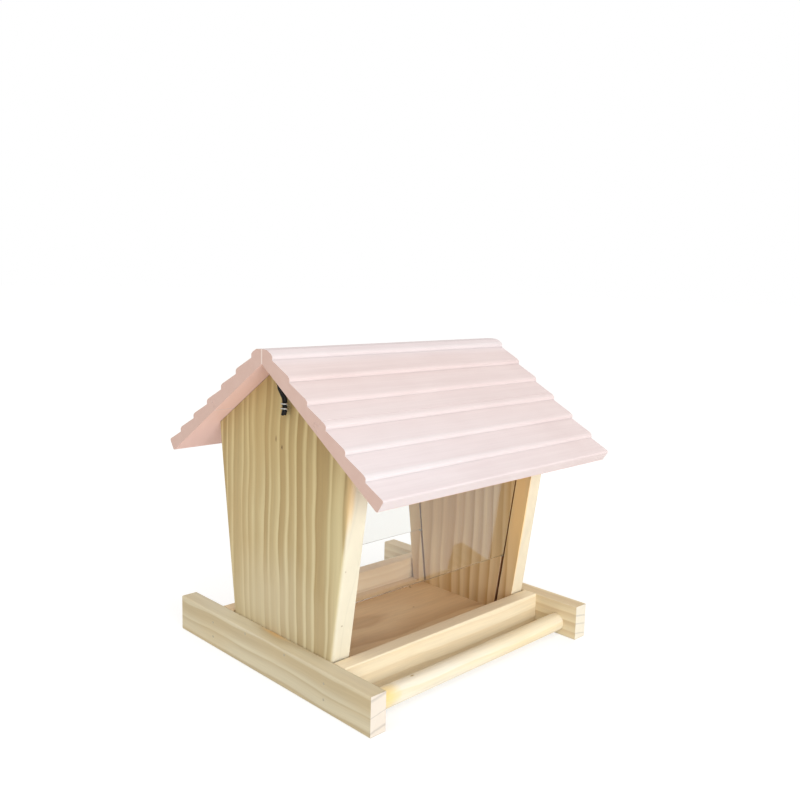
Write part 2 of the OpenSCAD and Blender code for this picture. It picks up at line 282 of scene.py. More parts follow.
def build_pine_grain():
    """Growth rings round a pith along Z. Each darkens outwards and ends in a crisp line."""
    tree, given, result = new_group(
        "pine_grain",
        [
            ("Vector", VECTOR, None),
            ("Ring Spacing", FLOAT, 0.007),
            ("Wander", FLOAT, 0.004),
            ("Unevenness", FLOAT, 1.0),
            ("Contrast", FLOAT, 1.0),
            ("Broad Bands", FLOAT, 0.0),
            ("Early Wood", COLOUR, (0.8, 0.7, 0.5, 1)),
            ("Late Wood", COLOUR, (0.6, 0.45, 0.25, 1)),
            ("Tint", COLOUR, (0.8, 0.6, 0.4, 1)),
        ],
        [("Colour", COLOUR), ("Ring Lines", FLOAT), ("Height", FLOAT), ("Roughness", FLOAT)],
    )
    place = given["Vector"]
    slow = noise(tree, scaled(tree, place, (1.0, 1.0, 0.6)), 20.0, 1.0).outputs["Color"]
    slow = vector_calc(tree, "SUBTRACT", slow, (0.5, 0.5, 0.5))
    pushed = vector_calc(tree, "SCALE", slow, scale=given["Wander"])
    moved = vector_calc(tree, "ADD", place, pushed)
    radius = vector_calc(tree, "LENGTH", scaled(tree, moved, (1.0, 1.0, 0.0)))
    shake = noise(tree, scaled(tree, place, (1.0, 1.0, 0.25)), 190.0).outputs[0]
    radius = calc(tree, "MULTIPLY_ADD", shake, 0.0009, radius)
    rings = calc(tree, "DIVIDE", radius, given["Ring Spacing"])
    uneven = add_node(
        tree, "ShaderNodeTexNoise", {"W": rings, "Scale": 0.6, "Detail": 1.0},
        noise_dimensions="1D",
    ).outputs[0]
    rings = calc(tree, "ADD", rings, calc(tree, "MULTIPLY", uneven, given["Unevenness"]))
    part = calc(tree, "FRACT", rings)
    per_ring = add_node(
        tree, "ShaderNodeTexWhiteNoise", {"W": calc(tree, "FLOOR", rings)},
        noise_dimensions="1D",
    ).outputs["Value"]
    slender = ramp(tree, part, [
        (0.0, 0.5), (0.05, 0.06), (0.22, 0.0), (0.5, 0.34), (0.8, 0.78), (0.95, 1.0), (1.0, 0.5),
    ])
    broad = ramp(tree, part, [
        (0.0, 0.5), (0.05, 0.1), (0.2, 0.0), (0.34, 0.5), (0.44, 0.76), (0.9, 0.8), (0.96, 1.0),
        (1.0, 0.5),
    ])
    broad_rings = ramp(tree, per_ring, [(0.2, 0.3), (0.6, 1.0)])
    broad_share = calc(tree, "MULTIPLY", given["Broad Bands"], broad_rings)
    late = mix_colour(tree, broad_share, slender, broad)
    strength = calc(tree, "MULTIPLY_ADD", per_ring, 0.5, 0.65)
    late = calc(tree, "MULTIPLY", calc(tree, "MULTIPLY", late, strength), given["Contrast"])
    line = ramp(tree, part, [(0.0, 0.3), (0.04, 0.0), (0.84, 0.0), (0.95, 1.0), (1.0, 0.3)])

    fibre_place = scaled(tree, moved, (1.0, 1.0, 0.03))
    fibre = noise(tree, fibre_place, 1500.0, 3.0, 0.6).outputs[0]
    streak = noise(tree, fibre_place, 360.0, 2.0, 0.55).outputs[0]
    blotch = noise(tree, scaled(tree, place, (1.0, 1.0, 0.5)), 24.0).outputs[0]

    wood = mix_colour(tree, late, given["Early Wood"], given["Late Wood"])
    patch = ramp(tree, blotch, [(0.45, 0.0), (0.75, 0.6)])
    wood = mix_colour(tree, patch, wood, given["Tint"])
    wood = multiplied(tree, wood, calc(tree, "MULTIPLY_ADD", streak, 0.2, 0.9))
    wood = multiplied(tree, wood, calc(tree, "MULTIPLY_ADD", fibre, 0.18, 0.91))

    height = calc(tree, "MULTIPLY_ADD", late, -0.35, fibre)
    rough = calc(tree, "MULTIPLY_ADD", late, -0.1, calc(tree, "MULTIPLY_ADD", fibre, 0.18, 0.55))
    tree.links.new(wood, result["Colour"])
    tree.links.new(line, result["Ring Lines"])
    tree.links.new(height, result["Height"])
    tree.links.new(rough, result["Roughness"])
    return tree


def build_small_mark():
    """A soft-edged speck, pin knot, stain or patch of painted light at one place on a board."""
    tree, given, result = new_group(
        "small_mark",
        [
            ("Vector", VECTOR, None),
            ("Place", VECTOR, None),
            ("Reach", VECTOR, None),
            ("Raggedness", FLOAT, 0.5),
        ],
        [("Mask", FLOAT)],
    )
    off = vector_calc(tree, "SUBTRACT", given["Vector"], given["Place"])
    share = vector_calc(tree, "DIVIDE", off, given["Reach"])
    away = vector_calc(tree, "LENGTH", share)
    rag = noise(tree, share, 1.6).outputs[0]
    away = calc(tree, "ADD", away, calc(tree, "MULTIPLY", rag, given["Raggedness"]))
    mask = ramp(tree, away, [(0.45, 1.0), (1.0, 0.0)])
    tree.links.new(mask, result["Mask"])
    return tree


def build_milk_paint():
    """Thin matte paint over pine, in brushed streaks, with the grain faintly showing through."""
    tree, given, result = new_group(
        "milk_paint",
        [
            ("Vector", VECTOR, None),
            ("Paint", COLOUR, (0.8, 0.6, 0.6, 1)),
            ("Thin Paint", COLOUR, (0.7, 0.5, 0.5, 1)),
            ("Streaks", FLOAT, 1.0),
        ],
        [("Colour", COLOUR), ("Height", FLOAT), ("Roughness", FLOAT)],
    )
    along = scaled(tree, given["Vector"], (0.04, 1.0, 1.0))
    brush = noise(tree, along, 700.0, 3.0, 0.6).outputs[0]
    grain = noise(tree, along, 210.0).outputs[0]
    cloud = noise(tree, given["Vector"], 30.0).outputs[0]
    thin = calc(tree, "MULTIPLY_ADD", grain, 0.5, calc(tree, "MULTIPLY", cloud, 0.5))
    thin = ramp(tree, thin, [(0.35, 0.0), (0.7, 1.0)])
    thin = calc(tree, "MULTIPLY", thin, given["Streaks"])
    paint = mix_colour(tree, thin, given["Paint"], given["Thin Paint"])
    paint = multiplied(tree, paint, calc(tree, "MULTIPLY_ADD", brush, 0.12, 0.94))
    height = calc(tree, "MULTIPLY_ADD", grain, 0.7, brush)
    rough = calc(tree, "MULTIPLY_ADD", cloud, 0.15, 0.52)
    tree.links.new(paint, result["Colour"])
    tree.links.new(height, result["Height"])
    tree.links.new(rough, result["Roughness"])
    return tree


PINE_GRAIN = build_pine_grain()
SMALL_MARK = build_small_mark()
MILK_PAINT = build_milk_paint()


def new_material(name):
    """A material with its node tree, its shader and the place on the object."""
    material = bpy.data.materials.new(name)
    material.use_nodes = True
    tree = material.node_tree
    shader = next(n for n in tree.nodes if n.type == "BSDF_PRINCIPLED")
    place = tree.nodes.new("ShaderNodeTexCoord").outputs["Object"]
    return material, tree, shader, place


def place_group(tree, group, values):
    return add_node(tree, "ShaderNodeGroup", values, node_tree=group)


def bumped(tree, shader, height, strength):
    bump = add_node(
        tree, "ShaderNodeBump",
        {"Height": height, "Strength": strength, "Distance": BUMP_DEPTH * MM},
    )
    tree.links.new(bump.outputs[0], shader.inputs["Normal"])


def pine(name, along, pith, spacing, early, late, tint, wander, uneven=1.0, contrast=1.0,
         broad=0.0, sawn_and_painted_light=None, sawn_lines=0.55, painted_top_shade=None, kerf=None, marks=()):
    """Bare planed pine. The grain runs along one axis, and the rings go round the pith,
    which is given in millimetres across the other two axes. Sawn ends and edges are paler,
    partly from the saw and partly as painted light. Faces in the kerfs are darker, as painted
    shade, and a board can grow warmer and darker towards its top, as painted shade under the
    eaves."""
    material, tree, shader, place = new_material(name)
    across = {"X": "YZ", "Y": "XZ", "Z": "XY"}[along]
    centre = {across[0]: pith[0] * MM, across[1]: pith[1] * MM, along: 0.0}
    centred = add_node(
        tree, "ShaderNodeMapping",
        {"Vector": place, "Location": [-centre[axis] for axis in "XYZ"]},
    ).outputs[0]
    split = split_up(tree, centred)
    turned = joined(tree, X=split[across[0]], Y=split[across[1]], Z=split[along])
    grain = place_group(tree, PINE_GRAIN, {
        "Vector": turned,
        "Ring Spacing": spacing * MM,
        "Wander": wander,
        "Unevenness": uneven,
        "Contrast": contrast,
        "Broad Bands": broad,
        "Early Wood": colour(*early),
        "Late Wood": colour(*late),
        "Tint": colour(*tint),
    })
    wood = grain.outputs["Colour"]
    # Painted shade: the board grows warmer and darker towards its top, under the eaves
    if painted_top_shade:
        up = calc(tree, "DIVIDE", split["Z"], TOP_SHADE_BY_Z * MM)
        share = ramp(tree, up, [(0.1, 0.0), (0.95, 1.0)])
        wood = multiplied(tree, wood, mix_colour(tree, share, PLAIN_WHITE, colour(*painted_top_shade)))
    # Sawn faces are paler, partly from the saw and partly as painted light
    if sawn_and_painted_light:
        mottle = noise(tree, scaled(tree, place, (1.0, 1.0, 0.5)), 130.0, 3.0).outputs[0]
        mottle = calc(tree, "MULTIPLY_ADD", mottle, 0.5, -0.1)
        pale = mix_colour(tree, mottle, colour(*sawn_and_painted_light), dimmed(sawn_and_painted_light, 0.86))
        lined = calc(tree, "MULTIPLY", grain.outputs["Ring Lines"], sawn_lines)
        pale = mix_colour(tree, lined, pale, dimmed(sawn_and_painted_light, 0.74))
        wood = mix_colour(tree, mesh_share(tree, "faces_across"), wood, pale)
    # Painted shade: faces inside the kerfs take a darker brown
    if kerf:
        wood = mix_colour(tree, mesh_share(tree, "in_kerf"), wood, colour(*kerf))
    # Each mark is a speck, knot, stain or patch of painted light
    for middle, reach, shade, strength in marks:
        spot = place_group(tree, SMALL_MARK, {
            "Vector": place,
            "Place": [v * MM for v in middle],
            "Reach": [v * MM for v in reach],
        })
        share = calc(tree, "MULTIPLY", spot.outputs["Mask"], strength)
        wood = mix_colour(tree, share, wood, colour(*shade))
    tree.links.new(wood, shader.inputs["Base Color"])
    tree.links.new(grain.outputs["Roughness"], shader.inputs["Roughness"])
    shader.inputs["Specular IOR Level"].default_value = 0.25
    bumped(tree, shader, grain.outputs["Height"], 0.3)
    return material


def roof_paint():
    """Pale pink paint, with a pale line at the mitre of the ends. The ends across X are darker
    and browner, as painted shade, and the underside is warmer, as painted bounce light. It is a
    little paler towards the eaves, there more on the left than on the right, and carries a
    painted highlight along the ridge and on the noses of the courses."""
    material, tree, shader, place = new_material("roof_paint")
    paint = place_group(tree, MILK_PAINT, {
        "Vector": place,
        "Paint": colour(221, 204, 202),
        "Thin Paint": colour(214, 195, 193),
        "Streaks": 0.8,
    })
    painted = paint.outputs["Colour"]
    split = split_up(tree, place)
    away = calc(tree, "ABSOLUTE", split["Y"])
    below = calc(tree, "SUBTRACT", APEX_Z * MM, split["Z"])
    below = calc(tree, "MULTIPLY", below, math.sin(ROOF_PITCH))
    down = calc(tree, "MULTIPLY_ADD", away, math.cos(ROOF_PITCH), below)

    # Paler towards the eaves, there more on the left than on the right
    slope_share = calc(tree, "DIVIDE", down, PANEL_LENGTH * MM)
    low = ramp(tree, slope_share, [(0.25, 0.0), (0.8, 1.0)])
    leftward = calc(tree, "MULTIPLY_ADD", split["X"], -1 / (PALER_SPAN * MM), 0.5)
    low = calc(tree, "MULTIPLY", low, ramp(tree, leftward, [(0.05, 0.25), (0.8, 1.0)]))
    # Painted highlight along the ridge
    high = ramp(tree, slope_share, [(0.0, 0.9), (0.06, 0.7), (0.12, 0.0)])
    paling_and_highlight = calc(tree, "MAXIMUM", low, high)
    paler = multiplied(tree, painted, (1.03, 1.09, 1.13, 1))
    painted = mix_colour(tree, paling_and_highlight, painted, paler)

    # Painted highlight on the noses of the courses
    past_tip = calc(tree, "SUBTRACT", down, FIRST_TIP * MM)
    course = calc(tree, "FRACT", calc(tree, "DIVIDE", past_tip, COURSE_PITCH * MM))
    nose = ramp(tree, course, [
        (0.0, 0.8), (0.03, 0.3), (0.12, 0.0), (0.8, 0.0), (0.9, 1.0), (1.0, 0.8),
    ])
    nose_highlight = calc(tree, "MULTIPLY", nose, paling_and_highlight)
    paler = multiplied(tree, painted, (0.99, 1.03, 1.03, 1))
    painted = mix_colour(tree, nose_highlight, painted, paler)

    # Painted bounce light: the underside is warmer
    painted = mix_colour(tree, mesh_share(tree, "faces_down"), painted, colour(246, 210, 203))
    # Painted shade: the ends across X are darker and browner, with a pale line at the mitre
    cloud = noise(tree, place, 90.0, 3.0, 0.6).outputs[0]
    painted_end_shade = mix_colour(tree, cloud, colour(206, 174, 162), colour(216, 188, 178))
    mitre = ramp(tree, calc(tree, "DIVIDE", away, MM), [(0.25, 0.8), (0.75, 0.0)])
    painted_end_shade = mix_colour(tree, mitre, painted_end_shade, colour(240, 226, 218))
    painted = mix_colour(tree, mesh_share(tree, "faces_along"), painted, painted_end_shade)

    tree.links.new(painted, shader.inputs["Base Color"])
    tree.links.new(paint.outputs["Roughness"], shader.inputs["Roughness"])
    shader.inputs["Specular IOR Level"].default_value = 0.3
    bumped(tree, shader, paint.outputs["Height"], 0.3)
    return material


def mesh_share(tree, name):
    """The share that mark_facing, or mark_kerfs, stored on the mesh under this name."""
    return add_node(
        tree, "ShaderNodeAttribute", attribute_name=name, attribute_type="GEOMETRY"
    ).outputs["Fac"]


def clear_acrylic():
    """Clear sheet with faint wiping marks, pale at its edges and brown where the kerfs hold it,
    as painted shade of the kerfs. It lets the light of the lamps into the house."""
    material, tree, shader, place = new_material("clear_acrylic")
    wiped = noise(tree, place, 40.0, 3.0, 0.6).outputs[0]
    sheet = mix_colour(tree, wiped, (0.96, 0.975, 0.965, 1), (0.98, 0.99, 0.985, 1))
    sheet = mix_colour(tree, mesh_share(tree, "sheet_edge"), sheet, colour(226, 210, 186))
    # Painted shade: the sheet is brown where it sits in the kerfs
    sideways = calc(tree, "ABSOLUTE", split_up(tree, place)["X"])
    held = calc(tree, "GREATER_THAN", sideways, (GABLE_IN_X - 0.1) * MM)
    sheet = mix_colour(tree, held, sheet, colour(140, 98, 66))
    tree.links.new(sheet, shader.inputs["Base Color"])
    shader.inputs["Roughness"].default_value = 0.0
    shader.inputs["Transmission Weight"].default_value = 1.0
    shader.inputs["IOR"].default_value = 1.49
    path = tree.nodes.new("ShaderNodeLightPath").outputs
    from_lamp = calc(tree, "MAXIMUM", path["Is Shadow Ray"], path["Is Diffuse Ray"])
    let_in = add_node(
        tree, "ShaderNodeBsdfTransparent", {"Color": (0.92, 0.93, 0.925, 1)}
    ).outputs[0]
    chosen = add_node(
        tree, "ShaderNodeMixShader", {0: from_lamp, 1: shader.outputs[0], 2: let_in}
    ).outputs[0]
    output = next(n for n in tree.nodes if n.type == "OUTPUT_MATERIAL")
    tree.links.new(chosen, output.inputs["Surface"])
    return material


def metal(name, tone, roughness):
    material, tree, shader, place = new_material(name)
    dull = noise(tree, place, 900.0, 3.0, 0.6).outputs[0]
    shade = mix_colour(tree, dull, colour(*tone), dimmed(tone, 0.82))
    rough = calc(tree, "MULTIPLY_ADD", dull, 0.25, roughness)
    tree.links.new(shade, shader.inputs["Base Color"])
    tree.links.new(rough, shader.inputs["Roughness"])
    shader.inputs["Metallic"].default_value = 1.0
    return material


def black_cord():
    material, tree, shader, place = new_material("black_cord")
    fuzz = noise(tree, place, 2600.0, 3.0, 0.7).outputs[0]
    shade = mix_colour(tree, fuzz, colour(6, 5, 5), colour(24, 21, 20))
    rough = calc(tree, "MULTIPLY_ADD", fuzz, 0.2, 0.6)
    tree.links.new(shade, shader.inputs["Base Color"])
    tree.links.new(rough, shader.inputs["Roughness"])
    shader.inputs["Sheen Weight"].default_value = 0.05
    shader.inputs["Specular IOR Level"].default_value = 0.25
    bumped(tree, shader, fuzz, 0.4)
    return material


def add_floor():
    """A pale floor that keeps the shadow."""
    material = bpy.data.materials.new("pale_floor")
    material.use_nodes = True
    tree = material.node_tree
    tree.nodes.clear()
    plain = add_node(tree, "ShaderNodeBsdfDiffuse", {"Color": (0.85, 0.84, 0.82, 1)}).outputs[0]
    shaded = add_node(tree, "ShaderNodeBsdfDiffuse", {"Color": (0.5, 0.5, 0.5, 1)}).outputs[0]
    lit = add_node(
        tree, "ShaderNodeEmission", {"Color": PLAIN_WHITE, "Strength": 0.62}
    ).outputs[0]
    both = add_node(tree, "ShaderNodeAddShader", {0: shaded, 1: lit}).outputs[0]
    chosen = add_node(
        tree, "ShaderNodeMixShader", {0: white_rays(tree), 1: plain, 2: both}
    ).outputs[0]
    add_node(tree, "ShaderNodeOutputMaterial", {"Surface": chosen})

    mesh = bpy.data.meshes.new("floor")
    signs = [(-1, -1), (1, -1), (1, 1), (-1, 1)]
    corners = [(x * FLOOR_REACH, y * FLOOR_REACH, 0) for x, y in signs]
    mesh.from_pydata(corners, [], [(0, 1, 2, 3)])
    floor = link_mesh("floor", mesh, material)


def add_world():
    """A white surround for what looks past the floor, and an even light for the rest."""
    world = bpy.data.worlds.new("surround")
    world.use_nodes = True
    tree = world.node_tree
    tree.nodes.clear()
    white = add_node(
        tree, "ShaderNodeBackground", {"Color": PLAIN_WHITE, "Strength": 1.0}
    ).outputs[0]
    ambient = add_node(
        tree, "ShaderNodeBackground", {"Color": (1.0, 0.98, 0.95, 1), "Strength": 0.8}
    ).outputs[0]
    chosen = add_node(
        tree, "ShaderNodeMixShader", {0: white_rays(tree), 1: ambient, 2: white}
    ).outputs[0]
    add_node(tree, "ShaderNodeOutputWorld", {"Surface": chosen})
    bpy.context.scene.world = world


def white_rays(tree):
    """1 for rays from the camera and for those that a gloss or a clear sheet sends on."""
    path = tree.nodes.new("ShaderNodeLightPath").outputs
    either = calc(tree, "MAXIMUM", path["Is Camera Ray"], path["Is Glossy Ray"])
    return calc(tree, "MAXIMUM", either, path["Is Transmission Ray"])


# Meshes


def link_mesh(name, mesh, material):
    mesh.materials.clear()
    mesh.materials.append(material)
    piece = bpy.data.objects.new(name, mesh)
    bpy.context.scene.collection.objects.link(piece)
    return piece


def finish_piece(piece, body, slot, *nodes):
    """Puts a finished piece on its body, in the place of the frame's plain ones."""
    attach(piece, body)
    if nodes:
        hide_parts(*nodes)
    return piece


def eased_copy(node, ease, shortest=5.0, segments=3, round_ease=0.0, is_round=None):
    """A merged copy of a board of the frame with its long sharp edges rounded. The edges that
    is_round picks get the larger easing."""
    work = bmesh.new()
    work.from_mesh(frame["nodes"][node].data)
    bmesh.ops.remove_doubles(work, verts=work.verts, dist=1e-6)
    bmesh.ops.dissolve_limit(
        work, angle_limit=math.radians(0.5), verts=work.verts, edges=work.edges
    )
    if is_round:
        bevel(work, [e for e in long_edges(work, shortest) if is_round(e)], round_ease, 5)
    bevel(work, long_edges(work, shortest), ease, segments)
    mesh = bpy.data.meshes.new(node + "_dressed")
    work.to_mesh(mesh)
    work.free()
    return mesh


def long_edges(work, shortest):
    return [
        edge for edge in work.edges
        if edge.is_manifold and edge.is_convex
        and edge.calc_face_angle() > math.radians(20)
        and edge.calc_length() > shortest * MM
    ]


def bevel(work, edges, ease, segments):
    bmesh.ops.bevel(
        work, geom=edges, offset=ease * MM, segments=segments, profile=0.5,
        affect="EDGES", clamp_overlap=True,
    )


def baked(piece):
    """The piece's mesh with its modifiers applied."""
    graph = bpy.context.evaluated_depsgraph_get()
    graph.update()
    return bpy.data.meshes.new_from_object(piece.evaluated_get(graph), depsgraph=graph)


def even_shading(piece):
    """Smooth bevels beside flat faces that stay flat. The ends across X take no share in the
    smoothing, since their outlines can be finely stepped."""
    mesh = piece.data
    mesh.shade_smooth()
    for face in mesh.polygons:
        face.use_smooth = abs(face.normal.x) < 0.99 or face.area < 1e-4
    mesh.set_sharp_from_angle(angle=math.radians(40))
    weighted = piece.modifiers.new("weighted", "WEIGHTED_NORMAL")
    weighted.keep_sharp = True
    weighted.weight = 100
    flat = baked(piece)
    piece.modifiers.clear()
    piece.data = flat
    bpy.data.meshes.remove(mesh)


def dressed_board(node, body, slot, material, ease, shortest=5.0, **rounding):
    mesh = eased_copy(node, ease, shortest, **rounding)
    piece = link_mesh(node + "_board", mesh, material)
    even_shading(piece)
    mark_facing(piece.data, "faces_across", lambda normal: abs(normal.y))
    mark_facing(piece.data, "faces_along", lambda normal: abs(normal.x))
    mark_facing(piece.data, "faces_down", lambda normal: -normal.z, 0.65, 0.8)
    return finish_piece(piece, body, slot, node)


def mark_facing(mesh, name, turned, start=0.3, full=0.85):
    """Stores how far each corner of the mesh is turned one way, from 0 to 1."""
    share = mesh.attributes.new(name, "FLOAT", "CORNER")
    values = []
    for normal in mesh.corner_normals:
        facing = min(max((turned(normal.vector) - start) / (full - start), 0.0), 1.0)
        values.append(facing * facing * (3 - 2 * facing))
    share.data.foreach_set("value", values)


def mark_kerfs(mesh):
    """Stores which faces of a gable lie inside the saw kerfs."""
    share = mesh.attributes.new("in_kerf", "FLOAT", "FACE")
    values = []
    for face in mesh.polygons:
        depths = [abs(mesh.vertices[v].co.x) / MM for v in face.vertices]
        past_face = GABLE_IN_X - 0.1 < min(depths)
        short_of_bottom = GABLE_IN_X + 1 < max(depths) < KERF_BOTTOM_X + 0.1
        values.append(float(past_face and short_of_bottom))
    share.data.foreach_set("value", values)


def smooth_route(points, step):
    """Points about a step apart on one smooth curve through the given ones."""
    given = [Vector(p) for p in points]
    route = []
    last = len(given) - 1
    for i in range(last):
        before = given[i - 1] if i else 2 * given[0] - given[1]
        after = given[i + 2] if i + 2 <= last else 2 * given[last] - given[last - 1]
        start, end = given[i], given[i + 1]
        span = (end - start).length
        lead = (end - before) * (span / max((end - before).length, 1e-9))
        tail = (after - start) * (span / max((after - start).length, 1e-9))
        pieces = max(1, round(span / step))
        for k in range(pieces):
            t = k / pieces
            route.append(
                start * (2 * t ** 3 - 3 * t ** 2 + 1) + lead * (t ** 3 - 2 * t ** 2 + t)
                + end * (3 * t ** 2 - 2 * t ** 3) + tail * (t ** 3 - t ** 2)
            )
    route.append(given[last])
    return route


# Geometry node trees


def new_geometry_tree(name, inputs):
    tree = bpy.data.node_groups.new(name, "GeometryNodeTree")
    tree.interface.new_socket("Geometry", in_out="INPUT", socket_type="NodeSocketGeometry")
    for label, kind, default in inputs:
        socket = tree.interface.new_socket(label, in_out="INPUT", socket_type=kind)
        if default is not None:
            socket.default_value = default
    tree.interface.new_socket("Geometry", in_out="OUTPUT", socket_type="NodeSocketGeometry")
    given = tree.nodes.new("NodeGroupInput").outputs
    result = tree.nodes.new("NodeGroupOutput").inputs
    return tree, given, result


def run_geometry(name, mesh_or_curve, tree, values, material):
    """The plain mesh that a geometry node tree makes from a mesh or a curve."""
    holder = bpy.data.objects.new(name + "_source", mesh_or_curve)
    bpy.context.scene.collection.objects.link(holder)
    modifier = holder.modifiers.new("make", "NODES")
    modifier.node_group = tree
    sockets = {
        item.name: item.identifier for item in tree.interface.items_tree
        if item.item_type == "SOCKET" and item.in_out == "INPUT"
    }
    for label, value in dict(values, Material=material).items():
        modifier[sockets[label]] = value
    mesh = baked(holder)
    bpy.data.objects.remove(holder)
    mesh.name = name
    return link_mesh(name, mesh, material)


def end_tree(tree, geometry, given, result):
    """Makes real meshes of the instances, and gives them the material."""
    real = add_node(tree, "GeometryNodeRealizeInstances", {"Geometry": geometry}).outputs[0]
    finished = add_node(
        tree, "GeometryNodeSetMaterial", {"Geometry": real, "Material": given["Material"]}
    ).outputs[0]
    tree.links.new(finished, result["Geometry"])
    return tree


def stored(tree, geometry, name, value):
    """The geometry with a number stored on its points, and the reader of that number."""
    kept = add_node(
        tree, "GeometryNodeStoreNamedAttribute",
        {"Geometry": geometry, "Name": name, "Value": value},
        data_type="FLOAT", domain="POINT",
    ).outputs[0]
    read = add_node(
        tree, "GeometryNodeInputNamedAttribute", {"Name": name}, data_type="FLOAT"
    ).outputs[0]
    return kept, read


def build_braid_tree():
    """A braided cord along a curve: two sets of strands that cross over and under."""
    tree, given, result = new_geometry_tree("braided_cord", [
        ("Diameter", FLOAT, 0.0018),
        ("Ring Step", FLOAT, 0.0004),
        ("Sides", "NodeSocketInt", 16),
        ("Strands", FLOAT, 4.0),
        ("Lay Length", FLOAT, 0.0075),
        ("Relief", FLOAT, 0.05),
        ("Seed", FLOAT, float(SEED)),
        ("Material", "NodeSocketMaterial", None),
    ])
    spaced = add_node(
        tree, "GeometryNodeResampleCurve",
        {"Curve": given["Geometry"], "Length": given["Ring Step"]}, mode="LENGTH",
    ).outputs[0]
    along = tree.nodes.new("GeometryNodeSplineParameter").outputs["Length"]
    spine, length_here = stored(tree, spaced, "cord_length", along)
    radius = calc(tree, "MULTIPLY", given["Diameter"], 0.5)
    circle = add_node(
        tree, "GeometryNodeCurvePrimitiveCircle",
        {"Resolution": given["Sides"], "Radius": radius},
    ).outputs[0]
    share = tree.nodes.new("GeometryNodeSplineParameter").outputs["Factor"]
    turn = calc(tree, "MULTIPLY", share, FULL_TURN)
    ring, turn_here = stored(tree, circle, "cord_turn", turn)
    tube = add_node(
        tree, "GeometryNodeCurveToMesh",
        {"Curve": spine, "Profile Curve": ring, "Fill Caps": True},
    ).outputs[0]

    pace = calc(tree, "DIVIDE", FULL_TURN, given["Lay Length"])
    wound = calc(tree, "MULTIPLY", length_here, pace)
    wound = calc(tree, "MULTIPLY", wound, given["Strands"])
    wound = calc(tree, "ADD", wound, given["Seed"])
    round_about = calc(tree, "MULTIPLY", turn_here, given["Strands"])
    one_way = calc(tree, "SINE", calc(tree, "ADD", round_about, wound))
    other_way = calc(tree, "SINE", calc(tree, "SUBTRACT", round_about, wound))
    crossing = calc(tree, "MULTIPLY", one_way, other_way)
    relief = calc(tree, "MULTIPLY", radius, given["Relief"])
    depth = calc(tree, "MULTIPLY", calc(tree, "SUBTRACT", crossing, 1.0), relief)
    normal = tree.nodes.new("GeometryNodeInputNormal").outputs[0]
    shift = vector_calc(tree, "SCALE", normal, scale=depth)
    pressed = add_node(
        tree, "GeometryNodeSetPosition", {"Geometry": tube, "Offset": shift}
    ).outputs[0]
    smooth = add_node(
        tree, "GeometryNodeSetShadeSmooth", {"Geometry": pressed, "Shade Smooth": True}
    ).outputs[0]
    return end_tree(tree, smooth, given, result)


def build_brad_tree():
    """A brad at each point of the mesh: a slim shank that widens to a small flat head.

    It is one tube of three rings. The first ring is widened to the head, and the middle one
    is drawn up to the underside of the head."""
    tree, given, result = new_geometry_tree("brads", [
        ("Shank Diameter", FLOAT, 0.0014),
        ("Head Diameter", FLOAT, 0.0022),
        ("Head Thickness", FLOAT, 0.0008),
        ("Length", FLOAT, 0.022),
        ("Turn", VECTOR, None),
        ("Seed", "NodeSocketInt", SEED),
        ("Material", "NodeSocketMaterial", None),
    ])
    radius = calc(tree, "MULTIPLY", given["Shank Diameter"], 0.5)
    middle = calc(tree, "MULTIPLY", given["Length"], 0.5)
    shank = add_node(
        tree, "GeometryNodeMeshCylinder",
        {"Vertices": 24, "Side Segments": 2, "Radius": radius, "Depth": given["Length"]},
    ).outputs[0]
    shank = add_node(
        tree, "GeometryNodeTransform",
        {"Geometry": shank, "Translation": joined(tree, Z=middle)},
    ).outputs[0]

    here = split_up(tree, tree.nodes.new("GeometryNodeInputPosition").outputs[0])
    ring = calc(tree, "DIVIDE", here["Z"], middle)
    at_head = calc(tree, "LESS_THAN", ring, 0.5)
    at_end = calc(tree, "GREATER_THAN", ring, 1.5)
    at_middle = calc(tree, "SUBTRACT", calc(tree, "SUBTRACT", 1.0, at_head), at_end)
    swell = calc(tree, "DIVIDE", given["Head Diameter"], given["Shank Diameter"])
    swell = calc(tree, "MULTIPLY", at_head, calc(tree, "SUBTRACT", swell, 1.0))
    widen = calc(tree, "ADD", 1.0, swell)
    rise = calc(tree, "SUBTRACT", given["Head Thickness"], middle)
    rise = calc(tree, "MULTIPLY", at_middle, rise)
    shaped = joined(
        tree,
        X=calc(tree, "MULTIPLY", here["X"], widen),
        Y=calc(tree, "MULTIPLY", here["Y"], widen),
        Z=calc(tree, "ADD", here["Z"], rise),
    )
    brad = add_node(
        tree, "GeometryNodeSetPosition", {"Geometry": shank, "Position": shaped}
    ).outputs[0]

    spin = add_node(
        tree, "FunctionNodeRandomValue",
        {"Min": 0.0, "Max": FULL_TURN, "Seed": given["Seed"]}, data_type="FLOAT",
    ).outputs[1]
    placed = add_node(
        tree, "GeometryNodeInstanceOnPoints",
        {"Points": given["Geometry"], "Instance": brad, "Rotation": given["Turn"]},
    ).outputs[0]
    spun = add_node(
        tree, "GeometryNodeRotateInstances",
        {"Instances": placed, "Rotation": joined(tree, Z=spin), "Local Space": True},
    ).outputs[0]
    return end_tree(tree, spun, given, result)


# Cord and bands

